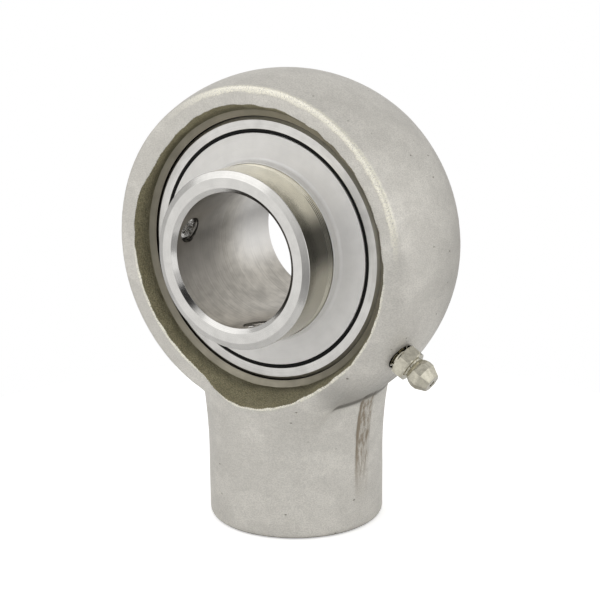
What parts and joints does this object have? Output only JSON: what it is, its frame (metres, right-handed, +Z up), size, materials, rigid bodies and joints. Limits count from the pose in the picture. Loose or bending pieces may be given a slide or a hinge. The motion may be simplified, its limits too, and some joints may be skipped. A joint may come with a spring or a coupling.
{
  "type": "hanger-type ball bearing unit",
  "caption": "Ball-shaped stainless housing on a threaded neck, holding a self-aligning insert ball bearing with set screw locking, seals, flingers and a grease nipple.",
  "frame": {"origin": "centre of the neck's end face, where the unit stands or meets the rod's shoulder", "axes": "+Z up the neck to the ball, the shaft's axis along Y with the set screw side towards -Y, the nipple on +X"},
  "size_m": [0.081, 0.0456, 0.1043],
  "materials": {
    "cast_stainless": "blasted casting with machined faces",
    "ring_steel": "fine ground",
    "ball_steel": "polished",
    "cage_steel": "pressed strip",
    "pressed_stainless": "bright turned sheet",
    "seal_rubber": "matt",
    "screw_steel": "plain",
    "nipple_metal": "nickel plated"
  },
  "bodies": {
    "housing": {"housing": "cast_stainless", "grease_nipple": "nipple_metal"},
    "outer": {"outer_ring": "ring_steel", "front_seal_core": "pressed_stainless", "rear_seal_core": "pressed_stainless", "front_seal_lip": "seal_rubber", "rear_seal_lip": "seal_rubber"},
    "rotor": {"inner_ring": "ring_steel", "front_flinger": "pressed_stainless", "rear_flinger": "pressed_stainless"},
    "cage": {"cage_front": "cage_steel", "cage_rear": "cage_steel", "cage_rivet_1": "cage_steel", "cage_rivet_2": "cage_steel", "cage_rivet_3": "cage_steel", "cage_rivet_4": "cage_steel", "cage_rivet_5": "cage_steel", "cage_rivet_6": "cage_steel", "cage_rivet_7": "cage_steel", "cage_rivet_8": "cage_steel", "cage_rivet_9": "cage_steel"},
    "rolling_ball_1": {"ball_1": "ball_steel"},
    "rolling_ball_2": {"ball_2": "ball_steel"},
    "rolling_ball_3": {"ball_3": "ball_steel"},
    "rolling_ball_4": {"ball_4": "ball_steel"},
    "rolling_ball_5": {"ball_5": "ball_steel"},
    "rolling_ball_6": {"ball_6": "ball_steel"},
    "rolling_ball_7": {"ball_7": "ball_steel"},
    "rolling_ball_8": {"ball_8": "ball_steel"},
    "rolling_ball_9": {"ball_9": "ball_steel"},
    "screw_1": {"set_screw_1": "screw_steel"},
    "screw_2": {"set_screw_2": "screw_steel"},
    "nipple_valve": {"nipple_check_ball": "ball_steel", "nipple_spring": "screw_steel"}
  },
  "joints": [
    {"name": "self_alignment", "type": "hinge", "parent": "housing", "child": "outer", "pos_m": [0, -0.003, 0.065], "axis": [1, 0, 0], "range_deg": [-3, 3]},
    {"name": "shaft_spin", "type": "hinge", "parent": "outer", "child": "rotor", "pos_m": [0, -0.003, 0.065], "axis": [0, 1, 0], "continuous": true},
    {"name": "cage_spin", "type": "hinge", "parent": "outer", "child": "cage", "pos_m": [0, -0.003, 0.065], "axis": [0, 1, 0], "continuous": true},
    {"name": "ball_spin_1", "type": "hinge", "parent": "cage", "child": "rolling_ball_1", "pos_m": [0, -0.003, 0.088], "axis": [0, 1, 0], "continuous": true},
    {"name": "ball_spin_2", "type": "hinge", "parent": "cage", "child": "rolling_ball_2", "pos_m": [-0.01478, -0.003, 0.08262], "axis": [0, 1, 0], "continuous": true},
    {"name": "ball_spin_3", "type": "hinge", "parent": "cage", "child": "rolling_ball_3", "pos_m": [-0.02265, -0.003, 0.06899], "axis": [0, 1, 0], "continuous": true},
    {"name": "ball_spin_4", "type": "hinge", "parent": "cage", "child": "rolling_ball_4", "pos_m": [-0.01992, -0.003, 0.0535], "axis": [0, 1, 0], "continuous": true},
    {"name": "ball_spin_5", "type": "hinge", "parent": "cage", "child": "rolling_ball_5", "pos_m": [-0.00787, -0.003, 0.04339], "axis": [0, 1, 0], "continuous": true},
    {"name": "ball_spin_6", "type": "hinge", "parent": "cage", "child": "rolling_ball_6", "pos_m": [0.00787, -0.003, 0.04339], "axis": [0, 1, 0], "continuous": true},
    {"name": "ball_spin_7", "type": "hinge", "parent": "cage", "child": "rolling_ball_7", "pos_m": [0.01992, -0.003, 0.0535], "axis": [0, 1, 0], "continuous": true},
    {"name": "ball_spin_8", "type": "hinge", "parent": "cage", "child": "rolling_ball_8", "pos_m": [0.02265, -0.003, 0.06899], "axis": [0, 1, 0], "continuous": true},
    {"name": "ball_spin_9", "type": "hinge", "parent": "cage", "child": "rolling_ball_9", "pos_m": [0.01478, -0.003, 0.08262], "axis": [0, 1, 0], "continuous": true},
    {"name": "screw_travel_1", "type": "slide", "parent": "rotor", "child": "screw_1", "axis": [-0.9511, 0, 0.309], "range_m": [-0.0003, 0.003]},
    {"name": "screw_travel_2", "type": "slide", "parent": "rotor", "child": "screw_2", "axis": [0.2079, 0, -0.9781], "range_m": [-0.0003, 0.003]},
    {"name": "valve_press", "type": "slide", "parent": "housing", "child": "nipple_valve", "axis": [-0.848, 0, 0.5299], "range_m": [0, 0.001], "stiffness_N_per_m": 60, "springref_m": -0.002}
  ],
  "couplings": [
    {"joint": "cage_spin", "follows": "shaft_spin", "ratio": 0.39647},
    {"joint": "ball_spin_1", "follows": "shaft_spin", "ratio": -2.3112},
    {"joint": "ball_spin_2", "follows": "shaft_spin", "ratio": -2.3112},
    {"joint": "ball_spin_3", "follows": "shaft_spin", "ratio": -2.3112},
    {"joint": "ball_spin_4", "follows": "shaft_spin", "ratio": -2.3112},
    {"joint": "ball_spin_5", "follows": "shaft_spin", "ratio": -2.3112},
    {"joint": "ball_spin_6", "follows": "shaft_spin", "ratio": -2.3112},
    {"joint": "ball_spin_7", "follows": "shaft_spin", "ratio": -2.3112},
    {"joint": "ball_spin_8", "follows": "shaft_spin", "ratio": -2.3112},
    {"joint": "ball_spin_9", "follows": "shaft_spin", "ratio": -2.3112}
  ]
}
